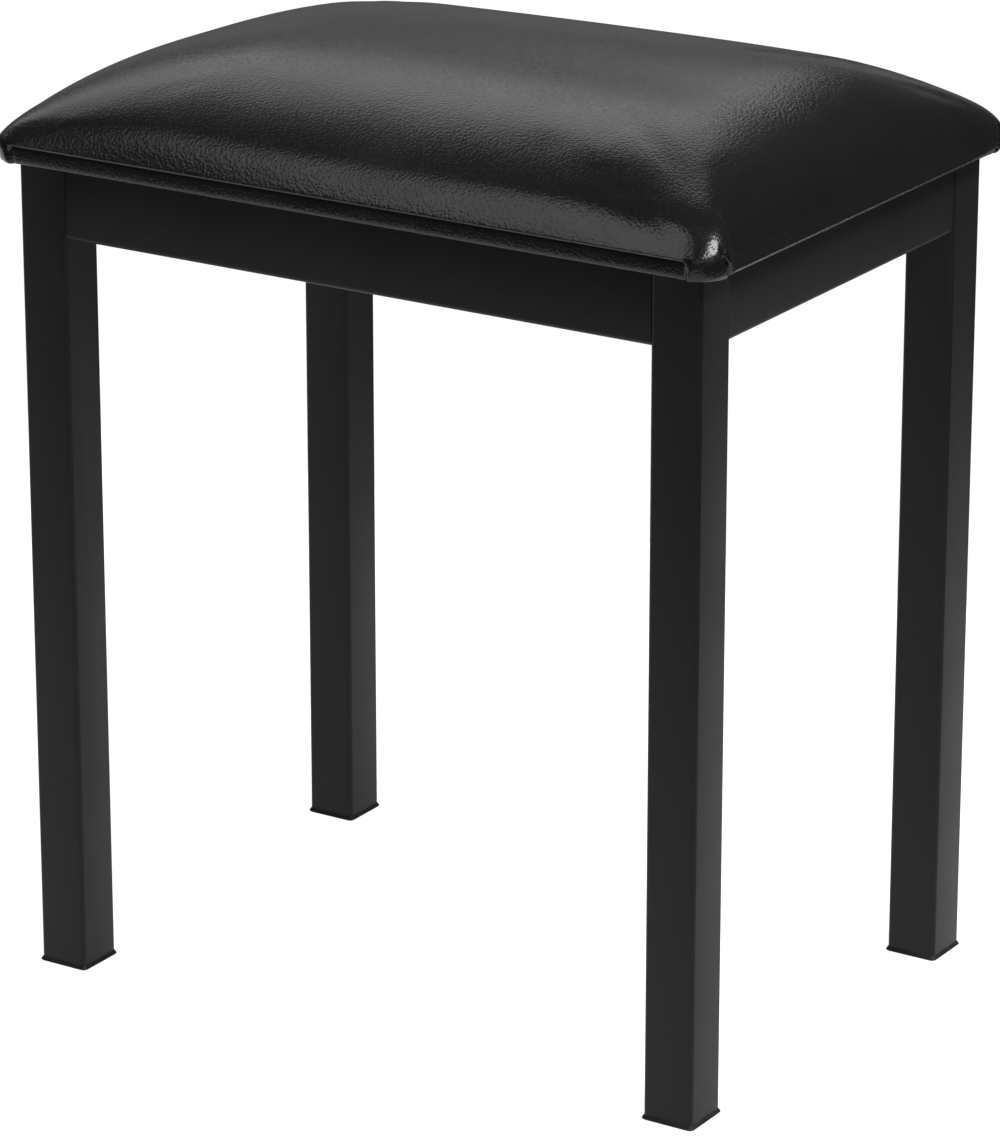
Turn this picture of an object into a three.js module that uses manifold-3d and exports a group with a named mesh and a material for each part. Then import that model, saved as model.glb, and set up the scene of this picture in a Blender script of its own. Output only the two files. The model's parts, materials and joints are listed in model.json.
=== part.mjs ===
// Upholstered keyboard bench on a four-legged frame of square steel tube.
// Millimetres, +Z up, +X to the right, -Y towards the front. The origin is on the floor,
// under the middle of the frame.
import * as THREE from "three";
import { mergeVertices } from "three/addons/utils/BufferGeometryUtils.js";
import Module from "manifold-3d";

// Frame
const frameLength = 400;
const frameDepth = 280;
const railUnderside = 400;
const railHeight = 38;
const railThickness = 20;
const railSetback = 1;
const railWall = 1.2;
const legWidth = 28;
const legWall = 1.2;
const tubeCornerRadius = 2.4;

// Foot plugs
const footFlare = 1.2;
const footHeight = 2.5;
const footChamfer = 0.6;
const plugDepth = 20;
const plugWall = 2;
const plugFinDepth = 0.8;
const plugFinHeight = 1;
const plugFinSpacing = 6;
const plugFins = 2;

// Corner plates, which carry the seat
const cornerPlateThickness = 3;
const cornerPlateReach = 58;
const cornerPlateLand = 8;
const seatBoltInset = 22;

// End plates inside the long rails, and the windows that a key goes through
const endPlateThickness = 3;
const endPlateInset = 1;
const windowStart = 8;
const windowLength = 30;
const windowHeight = 24;
const windowCornerRadius = 4;

// Fasteners
const boltRadius = 3;
const boltHeadRadius = 5.2;
const boltHeadHeight = 3.3;
const boltCrownRadiusShare = 0.6;
const boltRimHeightShare = 0.4;
const boltTipChamfer = 0.6;
const socketRadius = 2.3;
const socketDepth = 2;
const railBoltLength = 16;
const railBoltSpacing = 17;
const washerRadius = 9;
const washerThickness = 1.6;
const rivetNutRadius = 4.5;
const rivetNutLength = 11;
const rivetNutFlangeRadius = 6;
const rivetNutFlange = 0.8;
const rivetNutBulgeRadius = 5.6;
const rivetNutBulge = 2.5;
const teeNutFlangeRadius = 9;
const teeNutFlange = 1.2;
const teeNutRadius = 4.2;
const teeNutFloor = 1.5;
const boltTipGap = 1;

// Seat
const seatOverhang = 8;
const seatCornerRadius = 14;
const seatEdgeRadius = 1.2;
const boardThickness = 9;
const coverThickness = 0.9;
const hemWidth = 35;
const dustClothThickness = 0.5;
const dustClothMargin = 12;
const bulgeOut = 4;
const bulgeRise = 3;
const sidePull = 1.5;
const crownRise = 39.5;
const crownReach = 115;
const crownPower = 1.9;

// Clearances, and how far a cutting tool runs past what it cuts
const fitGap = 0.15;
const softGap = 0.3;
const overrun = 2;

// Steps of the faceted curves
const tubeCornerSteps = 3;
const roundSteps = 12;
const socketSides = 6;
const seatCornerSteps = 5;
const seatLengthSteps = 6;
const seatDepthSteps = 4;
const crownSteps = 8;

// Heights and places worked out from the sizes above
const frameTop = railUnderside + railHeight;
const legInset = legWidth - railSetback - railThickness;
const longRailLength = frameLength - 2 * legWidth;
const shortRailLength = frameDepth - 2 * legWidth;
const railCentreInset = railSetback + railThickness / 2;
const boltHoleRadius = boltRadius + fitGap;
const seatBottom = frameTop + dustClothThickness;
const boardBottom = seatBottom + coverThickness;
const boardTop = boardBottom + boardThickness;
const boltPlaceX = frameLength / 2 - railSetback - railThickness - seatBoltInset;
const boltPlaceY = frameDepth / 2 - railSetback - railThickness - seatBoltInset;
const seatHalfLength = frameLength / 2 + seatOverhang;
const seatHalfDepth = frameDepth / 2 + seatOverhang;

const steelMaterial = new THREE.MeshStandardMaterial({ color: 0x17171a, roughness: 0.5, metalness: 0.2 });
const zincMaterial = new THREE.MeshStandardMaterial({ color: 0xa8a9a6, roughness: 0.35, metalness: 1 });
const plasticMaterial = new THREE.MeshStandardMaterial({ color: 0x101012, roughness: 0.6, metalness: 0 });
const coverMaterial = new THREE.MeshStandardMaterial({ color: 0x131215, roughness: 0.38, metalness: 0 });
const foamMaterial = new THREE.MeshStandardMaterial({ color: 0xd9cfa8, roughness: 0.95, metalness: 0 });
const boardMaterial = new THREE.MeshStandardMaterial({ color: 0xb58a56, roughness: 0.8, metalness: 0 });
const clothMaterial = new THREE.MeshStandardMaterial({ color: 0x1a1a1c, roughness: 0.95, metalness: 0 });

const corners = [
  { name: "front_left", x: -1, y: -1 },
  { name: "front_right", x: 1, y: -1 },
  { name: "rear_left", x: -1, y: 1 },
  { name: "rear_right", x: 1, y: 1 },
];

// Turns a shape's plane and its depth (x, y, z) into (y, z, x), so that a section runs along X.
const alongX = new THREE.Matrix4().makeBasis(
  new THREE.Vector3(0, 1, 0),
  new THREE.Vector3(0, 0, 1),
  new THREE.Vector3(1, 0, 0),
);

const bench = new THREE.Group();

function add(name, geometry, material, parent = bench) {
  const mesh = new THREE.Mesh(geometry, material);
  mesh.name = name;
  parent.add(mesh);
  return mesh;
}

// Booleans
const library = await Module();
library.setup();

function toSolid(geometry) {
  const bare = geometry.clone();
  bare.deleteAttribute("normal");
  bare.deleteAttribute("uv");
  const merged = mergeVertices(bare);
  return new library.Manifold(
    new library.Mesh({
      numProp: 3,
      vertProperties: merged.getAttribute("position").array,
      triVerts: new Uint32Array(merged.getIndex().array),
    }),
  );
}

function toGeometry(solid) {
  const mesh = solid.getMesh();
  const geometry = new THREE.BufferGeometry();
  geometry.setAttribute("position", new THREE.BufferAttribute(mesh.vertProperties, 3));
  geometry.setIndex(new THREE.BufferAttribute(mesh.triVerts, 1));
  geometry.computeVertexNormals();
  return geometry;
}

function cut(geometry, tools) {
  let solid = toSolid(geometry);
  for (const tool of tools) {
    solid = solid.subtract(toSolid(tool));
  }
  return toGeometry(solid);
}

// Shapes shared by several pieces

// A rectangle with round corners, centred on the origin of its plane.
function roundedRectangle(width, height, radius) {
  const shape = new THREE.Shape();
  const right = width / 2 - radius;
  const top = height / 2 - radius;
  const quarter = Math.PI / 2;
  shape.absarc(right, -top, radius, -quarter, 0);
  shape.absarc(right, top, radius, 0, quarter);
  shape.absarc(-right, top, radius, quarter, 2 * quarter);
  shape.absarc(-right, -top, radius, 2 * quarter, 3 * quarter);
  shape.closePath();
  return shape;
}

function extrude(shape, depth, steps) {
  return new THREE.ExtrudeGeometry(shape, { depth, bevelEnabled: false, curveSegments: steps });
}

function rectangularTube(width, height, wall, length) {
  const section = roundedRectangle(width, height, tubeCornerRadius);
  section.holes.push(roundedRectangle(width - 2 * wall, height - 2 * wall, tubeCornerRadius - wall));
  return extrude(section, length, tubeCornerSteps);
}

// A turned piece about Z. The profile lists radius and height from the lower end to the upper.
function turned(profile) {
  const points = profile.map(([radius, height]) => new THREE.Vector2(radius, height));
  return new THREE.LatheGeometry(points, roundSteps).rotateX(Math.PI / 2);
}

function cylinder(radius, bottom, top) {
  const height = top - bottom;
  const geometry = new THREE.CylinderGeometry(radius, radius, height, roundSteps);
  return geometry.rotateX(Math.PI / 2).translate(0, 0, bottom + height / 2);
}

// One ring of points round a rounded rectangle, anticlockwise from above. Its straight sides are
// drawn in by pull at their middles, and heightAt gives each point its height.
function ring(halfLength, halfDepth, radius, steps, heightAt, pull = 0) {
  const points = [];
  const arcs = [
    { x: 1, y: -1, start: -0.5, sideSteps: steps.depth },
    { x: 1, y: 1, start: 0, sideSteps: steps.length },
    { x: -1, y: 1, start: 0.5, sideSteps: steps.depth },
    { x: -1, y: -1, start: 1, sideSteps: steps.length },
  ];
  const middleX = halfLength - radius;
  const middleY = halfDepth - radius;
  arcs.forEach((arc, index) => {
    for (let step = 0; step <= steps.corner; step += 1) {
      const angle = (arc.start + (0.5 * step) / steps.corner) * Math.PI;
      const x = arc.x * middleX + radius * Math.cos(angle);
      const y = arc.y * middleY + radius * Math.sin(angle);
      points.push([x, y, heightAt(x, y)]);
    }
    const next = arcs[(index + 1) % arcs.length];
    const endAngle = (arc.start + 0.5) * Math.PI;
    const outX = Math.cos(endAngle);
    const outY = Math.sin(endAngle);
    for (let step = 1; step < arc.sideSteps; step += 1) {
      const share = step / arc.sideSteps;
      const x = THREE.MathUtils.lerp(arc.x, next.x, share) * middleX + radius * outX;
      const y = THREE.MathUtils.lerp(arc.y, next.y, share) * middleY + radius * outY;
      const inward = pull * 4 * share * (1 - share);
      points.push([x - inward * outX, y - inward * outY, heightAt(x, y)]);
    }
  });
  return points;
}

// A closed surface through a row of rings, from a middle point at the first end to one at the last.
// The diagonal of each face runs the same way from the wider ring to the narrower one, so that two
// skins of one form stay parallel whichever way their rings are listed.
function loft(firstPole, rings, lastPole) {
  const points = [firstPole, ...rings.flat(), lastPole];
  const count = rings[0].length;
  const last = points.length - 1;
  const widthOf = (level) => Math.hypot(rings[level][0][0], rings[level][0][1]);
  const index = [];
  for (let k = 0; k < count; k += 1) {
    const next = (k + 1) % count;
    index.push(0, 1 + next, 1 + k);
    for (let level = 0; level + 1 < rings.length; level += 1) {
      const lower = 1 + level * count;
      const upper = lower + count;
      if (widthOf(level) >= widthOf(level + 1)) {
        index.push(lower + k, lower + next, upper + next);
        index.push(lower + k, upper + next, upper + k);
      } else {
        index.push(lower + k, lower + next, upper + k);
        index.push(lower + next, upper + next, upper + k);
      }
    }
    const top = 1 + (rings.length - 1) * count;
    index.push(top + k, top + next, last);
  }
  const geometry = new THREE.BufferGeometry();
  geometry.setAttribute("position", new THREE.Float32BufferAttribute(points.flat(), 3));
  geometry.setIndex(index);
  geometry.computeVertexNormals();
  return geometry;
}

// Frame

// The heights of the two bolts at each end of a long rail.
const railBoltHeights = [-0.5, 0.5].map((share) => frameTop - railHeight / 2 + share * railBoltSpacing);

function legTube(corner) {
  const tube = rectangularTube(legWidth, legWidth, legWall, frameTop - footHeight);
  const holes = railBoltHeights.map((height) => {
    const hole = cylinder(rivetNutRadius + fitGap, legWidth / 2 - legWall - overrun, legWidth / 2 + overrun);
    hole.rotateY((-corner.x * Math.PI) / 2);
    return hole.translate(0, corner.y * (legWidth / 2 - railCentreInset), height - footHeight);
  });
  return cut(tube, holes);
}

function legs() {
  for (const corner of corners) {
    const leg = add(`leg_${corner.name}`, legTube(corner), steelMaterial);
    const x = corner.x * (frameLength - legWidth) / 2;
    const y = corner.y * (frameDepth - legWidth) / 2;
    leg.position.set(x, y, footHeight);
    const plug = add(`foot_plug_${corner.name}`, footPlug(), plasticMaterial);
    plug.position.set(x, y, 0);
  }
}

// A plug pushed up into the tube: a flared pad below, and a hollow finned stem inside.
function footPlug() {
  const steps = { corner: tubeCornerSteps, length: 1, depth: 1 };
  const padHalf = legWidth / 2 + footFlare;
  const stemHalf = legWidth / 2 - legWall - plugFinDepth - fitGap;
  const finHalf = stemHalf + plugFinDepth;
  const innerRadius = tubeCornerRadius - legWall;
  const level = (half, radius, height) => ring(half, half, radius, steps, () => height);
  const rings = [
    level(padHalf - footChamfer, tubeCornerRadius, 0),
    level(padHalf, tubeCornerRadius + footChamfer, footChamfer),
    level(legWidth / 2, tubeCornerRadius, footHeight),
    level(stemHalf, innerRadius, footHeight),
  ];
  for (let fin = 1; fin <= plugFins; fin += 1) {
    const height = footHeight + fin * plugFinSpacing;
    rings.push(level(stemHalf, innerRadius, height));
    rings.push(level(finHalf, innerRadius, height));
    rings.push(level(finHalf, innerRadius, height + plugFinHeight));
    rings.push(level(stemHalf, innerRadius, height + plugFinHeight));
  }
  const bore = stemHalf - plugWall;
  const top = footHeight + plugDepth;
  rings.push(level(stemHalf, innerRadius, top));
  rings.push(level(bore, innerRadius, top));
  rings.push(level(bore, innerRadius, footHeight));
  return loft([0, 0, 0], rings, [0, 0, footHeight]);
}

// A rail along X, with its section centred on the line. A long rail has a window near each end in
// its +Y wall, which is its inner wall.
function railTube(length, hasWindows) {
  const tube = rectangularTube(railThickness, railHeight, railWall, length);
  tube.applyMatrix4(alongX).translate(-length / 2, 0, 0);
  if (!hasWindows) {
    return tube;
  }
  const outline = roundedRectangle(windowLength, windowHeight, windowCornerRadius);
  const windows = [-1, 1].map((side) => {
    const tool = extrude(outline, railWall + 2 * overrun, tubeCornerSteps);
    tool.rotateX(Math.PI / 2);
    const centre = length / 2 - windowStart - windowLength / 2;
    return tool.translate(side * centre, railThickness / 2 + overrun, 0);
  });
  return cut(tube, windows);
}

function rails() {
  const height = railUnderside + railHeight / 2;
  const front = add("rail_front", railTube(longRailLength, true), steelMaterial);
  front.position.set(0, -frameDepth / 2 + railCentreInset, height);
  const rear = add("rail_rear", railTube(longRailLength, true), steelMaterial);
  rear.position.set(0, frameDepth / 2 - railCentreInset, height);
  rear.rotation.z = Math.PI;
  const left = add("rail_left", railTube(shortRailLength, false), steelMaterial);
  left.position.set(-frameLength / 2 + railCentreInset, 0, height);
  left.rotation.z = -Math.PI / 2;
  const right = add("rail_right", railTube(shortRailLength, false), steelMaterial);
  right.position.set(frameLength / 2 - railCentreInset, 0, height);
  right.rotation.z = Math.PI / 2;
}

// A flat plate that fills a top corner of the frame, notched round the leg. Its own corner is
// where the inner faces of the two rails would meet, and it spreads along +X and +Y.
function cornerPlate() {
  const shape = new THREE.Shape();
  shape.moveTo(legInset, 0);
  shape.lineTo(cornerPlateReach, 0);
  shape.lineTo(cornerPlateReach, cornerPlateLand);
  shape.lineTo(cornerPlateLand, cornerPlateReach);
  shape.lineTo(0, cornerPlateReach);
  shape.lineTo(0, legInset);
  shape.lineTo(legInset, legInset);
  shape.closePath();
  const hole = new THREE.Path();
  hole.absarc(seatBoltInset, seatBoltInset, boltHoleRadius, 0, 2 * Math.PI, true);
  shape.holes.push(hole);
  return extrude(shape, cornerPlateThickness, roundSteps / 2);
}

function cornerPlates() {
  for (const corner of corners) {
    const plate = add(`corner_plate_${corner.name}`, cornerPlate(), steelMaterial);
    const inset = railSetback + railThickness;
    const x = corner.x * (frameLength / 2 - inset);
    const y = corner.y * (frameDepth / 2 - inset);
    plate.position.set(x, y, frameTop - cornerPlateThickness);
    plate.rotation.z = Math.atan2(-corner.y, -corner.x) - Math.PI / 4;
  }
}

// A plate across the inside of a long rail's end, with a hole for each of its two bolts.
function endPlate() {
  const inner = tubeCornerRadius - railWall;
  const width = railThickness - 2 * railWall - 2 * fitGap;
  const height = railHeight - 2 * railWall - 2 * fitGap;
  const shape = roundedRectangle(width, height, inner);
  for (const side of [-1, 1]) {
    const hole = new THREE.Path();
    hole.absarc(0, side * railBoltSpacing / 2, boltHoleRadius, 0, 2 * Math.PI, true);
    shape.holes.push(hole);
  }
  return extrude(shape, endPlateThickness, roundSteps / 2).applyMatrix4(alongX);
}

// A button-head bolt along Z. Its head sits below zero and its shank reaches up to length.
function bolt(length) {
  const body = turned([
    [0, -boltHeadHeight],
    [boltHeadRadius * boltCrownRadiusShare, -boltHeadHeight],
    [boltHeadRadius, -boltHeadHeight * boltRimHeightShare],
    [boltHeadRadius, 0],
    [boltRadius, 0],
    [boltRadius, length - boltTipChamfer],
    [boltRadius - boltTipChamfer, length],
    [0, length],
  ]);
  const socket = new THREE.CylinderGeometry(socketRadius, socketRadius, 2 * socketDepth, socketSides);
  socket.rotateX(Math.PI / 2).translate(0, 0, -boltHeadHeight);
  return cut(body, [socket]);
}

// A rivet nut along Z. The tube wall that it grips lies from zero down to minus the wall.
function rivetNut() {
  const wallFar = -legWall - fitGap;
  const bulgeFar = wallFar - rivetNutBulge;
  return turned([
    [boltHoleRadius, -rivetNutLength],
    [rivetNutRadius, -rivetNutLength],
    [rivetNutRadius, bulgeFar],
    [rivetNutBulgeRadius, (wallFar + bulgeFar) / 2],
    [rivetNutRadius, wallFar],
    [rivetNutRadius, 0],
    [rivetNutFlangeRadius, 0],
    [rivetNutFlangeRadius, rivetNutFlange],
    [boltHoleRadius, rivetNutFlange],
    [boltHoleRadius, -rivetNutLength],
  ]);
}

// The joint at each end of each long rail: an end plate, two bolts and two rivet nuts.
function railJoints() {
  for (const corner of corners) {
    const joint = new THREE.Group();
    joint.position.x = corner.x * longRailLength / 2;
    joint.position.y = corner.y * (frameDepth / 2 - railCentreInset);
    joint.rotation.z = corner.x > 0 ? Math.PI : 0;
    bench.add(joint);
    const plate = add(`end_plate_${corner.name}`, endPlate(), steelMaterial, joint);
    plate.position.set(endPlateInset, 0, railUnderside + railHeight / 2);
    railBoltHeights.forEach((height, index) => {
      const place = index === 0 ? "lower" : "upper";
      const nut = add(`rivet_nut_${corner.name}_${place}`, rivetNut(), zincMaterial, joint);
      nut.position.z = height;
      nut.rotation.y = Math.PI / 2;
      const screw = add(`rail_bolt_${corner.name}_${place}`, bolt(railBoltLength), zincMaterial, joint);
      screw.position.set(endPlateInset + endPlateThickness, 0, height);
      screw.rotation.y = -Math.PI / 2;
    });
  }
}

// Seat

function seatBoard() {
  const inset = coverThickness + softGap;
  const outline = roundedRectangle(
    2 * (seatHalfLength - inset),
    2 * (seatHalfDepth - inset),
    seatCornerRadius - inset,
  );
  const board = extrude(outline, boardThickness, seatCornerSteps);
  const holes = corners.flatMap((corner) => {
    const barrel = cylinder(teeNutRadius + fitGap, -overrun, boardThickness + overrun);
    const flange = cylinder(
      teeNutFlangeRadius + fitGap,
      boardThickness - teeNutFlange,
      boardThickness + overrun,
    );
    const x = corner.x * boltPlaceX;
    const y = corner.y * boltPlaceY;
    return [barrel.translate(x, y, 0), flange.translate(x, y, 0)];
  });
  add("seat_board", cut(board, holes), boardMaterial).position.z = boardBottom;
}

// A tee nut let into the board from above: its flange is flush with the board's top.
function teeNut() {
  const barrelLength = boardThickness - teeNutFlange - teeNutFloor;
  return turned([
    [boltHoleRadius, -teeNutFlange - barrelLength],
    [teeNutRadius, -teeNutFlange - barrelLength],
    [teeNutRadius, -teeNutFlange],
    [teeNutFlangeRadius, -teeNutFlange],
    [teeNutFlangeRadius, 0],
    [boltHoleRadius, 0],
    [boltHoleRadius, -teeNutFlange - barrelLength],
  ]);
}

function washer() {
  return turned([
    [boltHoleRadius, 0],
    [washerRadius, 0],
    [washerRadius, washerThickness],
    [boltHoleRadius, washerThickness],
    [boltHoleRadius, 0],
  ]);
}

function seatFixings() {
  const washerBottom = frameTop - cornerPlateThickness - washerThickness;
  for (const corner of corners) {
    const x = corner.x * boltPlaceX;
    const y = corner.y * boltPlaceY;
    const length = boardTop - boltTipGap - washerBottom;
    add(`seat_bolt_${corner.name}`, bolt(length), zincMaterial).position.set(x, y, washerBottom);
    add(`seat_washer_${corner.name}`, washer(), zincMaterial).position.set(x, y, washerBottom);
    add(`tee_nut_${corner.name}`, teeNut(), zincMaterial).position.set(x, y, boardTop);
  }
}

function dustCloth() {
  const shape = roundedRectangle(
    2 * (seatHalfLength - dustClothMargin),
    2 * (seatHalfDepth - dustClothMargin),
    seatCornerRadius / 2,
  );
  for (const corner of corners) {
    const hole = new THREE.Path();
    hole.absarc(corner.x * boltPlaceX, corner.y * boltPlaceY, boltHoleRadius, 0, 2 * Math.PI, true);
    shape.holes.push(hole);
  }
  const cloth = add("dust_cloth", extrude(shape, dustClothThickness, roundSteps / 2), clothMaterial);
  cloth.position.z = frameTop;
}

// How much of the crown's rise is reached at a distance in from the edge.
function crownShare(distance) {
  const beyond = Math.max(1 - distance / crownReach, 0);
  return Math.sqrt(1 - beyond ** crownPower);
}

// The rings of one skin of the cushion, from the bulge in to the top's middle. Depth is how far
// the skin lies inside the cover's outer face.
function crownRings(depth) {
  const steps = { corner: seatCornerSteps, length: seatLengthSteps, depth: seatDepthSteps };
  const halfLength = seatHalfLength + bulgeOut - depth;
  const halfDepth = seatHalfDepth + bulgeOut - depth;
  const base = boardTop + bulgeRise;
  const heightAt = (x, y) => {
    const across = Math.max(halfLength - Math.abs(x), 0);
    const along = Math.max(halfDepth - Math.abs(y), 0);
    return base + (crownRise - depth) * crownShare(across) * crownShare(along);
  };
  const rings = [];
  for (let step = 0; step < crownSteps; step += 1) {
    const scale = 1 - (step / crownSteps) ** 2;
    const radius = (seatCornerRadius + bulgeOut - depth) * scale;
    rings.push(ring(halfLength * scale, halfDepth * scale, radius, steps, heightAt, sidePull * scale));
  }
  return { rings, pole: [0, 0, heightAt(0, 0)] };
}

// A level ring round the board's edge, depth inside the cover's outer face.
function edgeRing(depth, height) {
  const steps = { corner: seatCornerSteps, length: seatLengthSteps, depth: seatDepthSteps };
  const radius = Math.max(seatCornerRadius - depth, seatEdgeRadius);
  return ring(seatHalfLength - depth, seatHalfDepth - depth, radius, steps, () => height);
}

function seatFoam() {
  const depth = coverThickness + softGap;
  const bottom = boardTop + softGap;
  const crown = crownRings(depth);
  const foam = loft([0, 0, bottom], [edgeRing(depth, bottom), ...crown.rings], crown.pole);
  add("seat_foam", foam, foamMaterial);
}

// The cover is one skin: down the inside from the crown, round the hem under the board, and up
// the outside to the crown again.
function seatCover() {
  const inner = crownRings(coverThickness);
  const outer = crownRings(0);
  const rings = [
    ...inner.rings.reverse(),
    edgeRing(coverThickness, boardTop),
    edgeRing(coverThickness, boardBottom),
    edgeRing(hemWidth, boardBottom),
    edgeRing(hemWidth, seatBottom),
    edgeRing(seatEdgeRadius, seatBottom),
    edgeRing(0, seatBottom + seatEdgeRadius),
    edgeRing(0, boardTop),
    ...outer.rings,
  ];
  add("seat_cover", loft(inner.pole, rings, outer.pole), coverMaterial);
}

legs();
rails();
cornerPlates();
railJoints();
seatBoard();
seatFixings();
dustCloth();
seatFoam();
seatCover();

export default bench;
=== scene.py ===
import json
import math

import bpy
import numpy as np
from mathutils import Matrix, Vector
from mathutils.kdtree import KDTree


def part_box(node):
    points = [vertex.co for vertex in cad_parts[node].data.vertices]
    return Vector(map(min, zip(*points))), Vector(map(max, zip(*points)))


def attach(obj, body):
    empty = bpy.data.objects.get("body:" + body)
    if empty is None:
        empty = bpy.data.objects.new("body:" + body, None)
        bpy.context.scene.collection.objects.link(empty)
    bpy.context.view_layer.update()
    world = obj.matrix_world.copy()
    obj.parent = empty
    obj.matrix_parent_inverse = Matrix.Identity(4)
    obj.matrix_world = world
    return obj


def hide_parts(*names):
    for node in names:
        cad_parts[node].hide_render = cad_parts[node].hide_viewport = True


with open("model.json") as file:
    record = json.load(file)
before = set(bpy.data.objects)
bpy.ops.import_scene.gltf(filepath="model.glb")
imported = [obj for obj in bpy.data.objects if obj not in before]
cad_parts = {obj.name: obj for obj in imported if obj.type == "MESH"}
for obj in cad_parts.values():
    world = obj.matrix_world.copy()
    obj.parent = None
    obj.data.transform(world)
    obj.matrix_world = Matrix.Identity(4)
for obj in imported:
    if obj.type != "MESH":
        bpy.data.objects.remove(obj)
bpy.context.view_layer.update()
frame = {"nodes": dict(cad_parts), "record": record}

nodes = frame["nodes"]

# The photograph's frame and the camera that was fitted to it
IMAGE_HEIGHT = 1137
SENSOR = 36
FOCAL_PIXELS = 5509.9
CAMERA_AZIMUTH = 0.5671
CAMERA_PITCH = 0.335
CAMERA_SIDE = -0.000896
CAMERA_DISTANCE = 2.704195
CAMERA_HEIGHT = 1.15731
CLIP_START = 0.05
CLIP_END = 60

# The seat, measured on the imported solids
cover_low, cover_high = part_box("seat_cover")
_, board_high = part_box("seat_board")
BULGE_OUT = 0.004
HALF_LENGTH = cover_high.x - BULGE_OUT
HALF_DEPTH = cover_high.y - BULGE_OUT
CORNER_RADIUS = 0.014
SEAT_BOTTOM = cover_low.z
BOARD_TOP = board_high.z

# The crown: how high it stands, how far in from each side it still rises, and how soon
CROWN_BASE = SEAT_BOTTOM + 0.011
CROWN_RISE = 0.0398
LEFT_REACH = 0.11
RIGHT_REACH = 0.088
LENGTH_POWER = 1.8
DEPTH_REACH = 0.148
DEPTH_POWER = 2.63
CROWN_EDGE = 0.00003
FRONT_EDGE = 0.008

# The stuffing isn't even: small shares of the crown's height by which it leans to one side,
# sinks towards the ends and is twisted, except at the front right corner
CROWN_LEAN = -0.024
END_LEAN = -0.063
END_SINK = -0.092
CROWN_TWIST = 0.2
CROWN_LEVELLING = 2.6
CROWN_EASING = 0.25

# A lip runs round the crown's edge, creased on the long sides, fuller and lower on the short
# ones, and higher at the front right corner. The creased form turns into the full one over
# each corner, between two shares of half the corner's arc.
LIP_RISE = 0.003
LIP_WIDTH = 0.014
LIP_POWER = 1.5
SHORT_DROP = 0.003
CORNER_LIFT = 0.0038
CORNER_WIDTH = 0.026
ROUND_START_SHARE = -1.2
ROUND_END_SHARE = 0.4
CROWN_TOP = CROWN_BASE + CROWN_RISE + LIP_RISE

# How far the cover draws the sides in, how far from the corners it does so in full, and the
# share of the way to the middle of the top over which that fades
LONG_PULL = 0.001
LEFT_PULL = 0.001
RIGHT_PULL = 0.0036
FRONT_PULL_LENGTH = 0.008
REAR_PULL_LENGTH = 0.03
PULL_FADE = 0.11

# The cover's hem under the board
HEM_WIDTH = 0.035
SKIN = 0.0009
SKIN_GAP = 0.0002

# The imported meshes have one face's points apart from the next one's
WELD_DISTANCE = 0.000001
SHARP_ANGLE = 34

# Columns and rings of the cushion's mesh: fine round the corners, where the pleats are
ARC_STEPS = 44
FINE_LENGTH = 0.022
FINE_STEP = 0.0007
COARSE_STEP = 0.005
UNDERSIDE_RINGS = 4
CROWN_RINGS = 46

# The outer face from the lower edge up to the bulge: how far out, and how high above the bottom.
# On the long sides the board's edge shows as an upright band with a crease above it. On the
# short sides the cover is pulled tight and runs up in one curve.
LONG_PROFILE = [
    (-0.0016, 0.0),
    (0.0002, 0.00012),
    (0.0011, 0.0005),
    (0.0015, 0.0012),
    (0.0017, 0.0026),
    (0.0018, 0.0044),
    (0.0018, 0.0062),
    (0.0018, 0.0077),
    (0.0017, 0.0086),
    (0.0014, 0.0091),
    (0.0016, 0.0094),
    (0.0027, 0.0096),
    (0.0036, 0.01),
    (0.0039, 0.0106),
]
SHORT_PROFILE = [
    (-0.0016, 0.0),
    (0.0008, 0.0001),
    (0.0017, 0.0003),
    (0.0022, 0.0007),
    (0.0028, 0.0015),
    (0.0032, 0.0025),
    (0.0034, 0.0035),
    (0.0036, 0.0044),
    (0.0037, 0.0051),
    (0.0038, 0.0058),
    (0.00385, 0.0064),
    (0.0039, 0.0069),
    (0.00395, 0.0073),
    (0.004, 0.0077),
]
LONG_PULL_START = 0.0086
SHORT_PULL_START = 0.0015

# The pleat folded round each corner, from the long side over the short one. Places along
# the edge are measured from the middle of the corner, positive on the short side. Heights
# are measured from the seat's bottom.
PLEAT_THICKNESS = 0.0009
PLEAT_START = -0.0084
PLEAT_LEAN = 0.0033
PLEAT_RAMP = 0.0011
PLEAT_TOP = 0.017
PLEAT_FADE_START = 0.006
PLEAT_FADE_END = 0.016
FOLD_DEPTH = 0.0005
FOLD_WIDTH = 0.0009
FOLD_FADE_START = 0.009
FOLD_FADE_END = 0.0125
PLEAT_DROOP = 0.0003
DROOP_START = -0.0151
DROOP_HEIGHT = 0.006
TUCK_HEIGHT = 0.0115
TUCK_TOP = -0.0052
TUCK_LEAN = 0.0047
TUCK_POWER = 0.8
TUCK_DEPTH = 0.0043
TUCK_FLOOR = 0.0016
TUCK_WIDTH = 0.0028
TUCK_CURL = 0.0005
TUCK_CURL_END = 0.0084

# The cloth simulation that settles the cushion's skin, and how much of it is kept
SIM_VOXEL = 0.005
SIM_FRAMES = 20
SIM_PIN_HEIGHT = 0.002
SIM_CLOTH = {
    "quality": 6,
    "mass": 0.4,
    "tension_stiffness": 25,
    "compression_stiffness": 20,
    "shear_stiffness": 12,
    "bending_stiffness": 2,
    "use_pressure": True,
    "uniform_pressure_force": 4,
    "vertex_group_mass": "pins",
}
SIM_CAP = 0.003
SIM_SHARE = 0.35
SIM_START_HEIGHT = 0.004
SIM_NEIGHBOURS = 6
SIM_NEAREST = 0.001

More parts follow.
